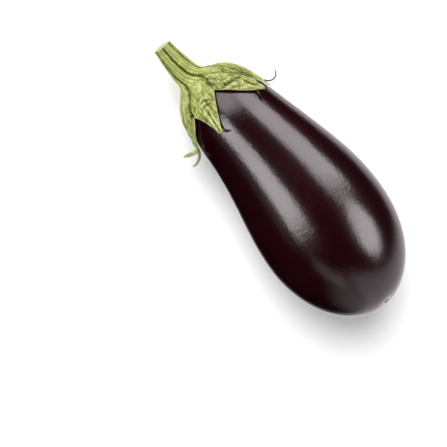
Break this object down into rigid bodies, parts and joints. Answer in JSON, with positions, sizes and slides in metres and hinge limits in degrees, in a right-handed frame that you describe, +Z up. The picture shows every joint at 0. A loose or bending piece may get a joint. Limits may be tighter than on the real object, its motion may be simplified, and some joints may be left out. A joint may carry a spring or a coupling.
{
  "type": "eggplant",
  "caption": "Whole globe eggplant as picked, lying on its side, with a smooth glossy fruit, a pointed-lobed green calyx over its shoulder and a cut green stem.",
  "frame": {"origin": "centre of the small flat spot under the belly that the fruit rests on", "axes": "+X along the fruit towards the stem, +Z up; the centre line curves a little towards +Y at both ends"},
  "size_m": [0.2157, 0.088, 0.0875],
  "materials": {
    "skin": "smooth, waxy and glossy, a very dark red-purple",
    "calyx_green": "leathery light green, veined and wrinkled, satin",
    "stem_green": "ribbed green, with light ribs and dark grooves, satin"
  },
  "bodies": {
    "root": {"fruit": "skin", "calyx": "calyx_green", "stem": "stem_green"}
  },
  "joints": []
}
